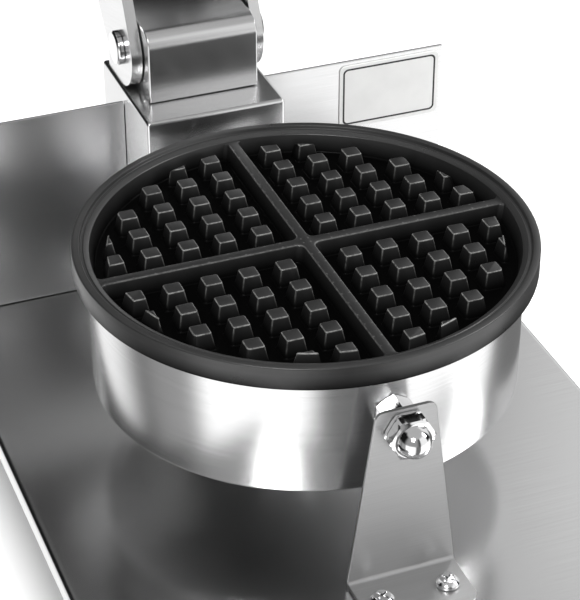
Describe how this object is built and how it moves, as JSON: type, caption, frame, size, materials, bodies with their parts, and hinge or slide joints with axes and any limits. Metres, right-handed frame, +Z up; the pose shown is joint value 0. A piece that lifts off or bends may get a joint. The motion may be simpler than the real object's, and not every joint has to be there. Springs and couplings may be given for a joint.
{
  "type": "waffle baker",
  "caption": "Round countertop waffle baker: fixed lower drum with a quartered stud grid, hinged upper drum standing open, folded steel base.",
  "frame": {"origin": "middle of the footprint of the whole object's box, on the surface that the feet stand on", "axes": "+Z up, the front with the controls and the bracket faces -Y, +X to the operator's right"},
  "size_m": [0.2544, 0.448, 0.5161],
  "materials": {
    "brushed_steel": "brushed stainless sheet",
    "coated_grid": "satin black non-stick coating on cast aluminium",
    "bright_steel": "polished",
    "aluminium": "dull",
    "black_plastic": "satin heat-proof plastic",
    "rubber": "matt",
    "insulation": "pressed mineral fibre",
    "ceramic": "glazed ceramic block",
    "red_lens": "clear red",
    "green_lens": "clear green",
    "white_label": "satin printed film"
  },
  "bodies": {
    "base": {"base_plate": "brushed_steel", "base_enclosure": "brushed_steel", "bottom_cover": "brushed_steel", "foot_front_left": "rubber", "foot_front_right": "rubber", "foot_rear_left": "rubber", "foot_rear_right": "rubber", "thermostat_body": "aluminium", "timer_body": "aluminium", "power_lamp": "red_lens", "ready_lamp": "green_lens", "rocker_housing": "black_plastic", "terminal_block": "ceramic", "back_panel_left": "brushed_steel", "back_panel_right": "brushed_steel", "rear_cover": "brushed_steel", "power_inlet": "black_plastic", "hinge_tower": "brushed_steel", "label_plate": "white_label", "hinge_block": "brushed_steel", "hinge_pin": "bright_steel", "hinge_pin_cap": "bright_steel", "lower_grid": "coated_grid", "lower_casing": "brushed_steel", "lower_heating_element": "aluminium", "lower_clamp_plate": "aluminium", "lower_insulation_pad": "insulation", "lower_tie_bolt": "bright_steel", "front_bracket": "brushed_steel", "front_stud": "bright_steel", "front_spacer": "bright_steel", "front_lock_nut": "bright_steel", "front_dome_nut": "bright_steel", "bracket_screw_left": "bright_steel", "bracket_screw_right": "bright_steel", "rear_support_tube": "brushed_steel"},
    "lid": {"upper_grid": "coated_grid", "upper_casing": "brushed_steel", "upper_heating_element": "aluminium", "upper_clamp_plate": "aluminium", "upper_insulation_pad": "insulation", "upper_tie_bolt": "bright_steel", "lid_yoke": "brushed_steel", "yoke_screw_left": "bright_steel", "yoke_screw_right": "bright_steel", "handle_stem": "bright_steel", "handle_grip": "black_plastic", "handle_end_nut": "bright_steel"},
    "thermostat_dial": {"thermostat_knob": "black_plastic"},
    "timer_dial": {"timer_knob": "black_plastic"},
    "switch_rocker": {"power_rocker": "black_plastic"}
  },
  "joints": [
    {"name": "lid_hinge", "type": "hinge", "parent": "base", "child": "lid", "pos_m": [0, 0.10724, 0.1708], "axis": [1, 0, 0], "range_deg": [0, 105]},
    {"name": "thermostat_turn", "type": "hinge", "parent": "base", "child": "thermostat_dial", "pos_m": [0.068, -0.20596, 0.0268], "axis": [0, 1, 0], "range_deg": [0, 270]},
    {"name": "timer_turn", "type": "hinge", "parent": "base", "child": "timer_dial", "pos_m": [-0.008, -0.20596, 0.0268], "axis": [0, 1, 0], "range_deg": [0, 330]},
    {"name": "rocker_tilt", "type": "hinge", "parent": "base", "child": "switch_rocker", "pos_m": [-0.078, -0.20296, 0.0268], "axis": [-1, 0, 0], "range_deg": [0, 12]}
  ]
}
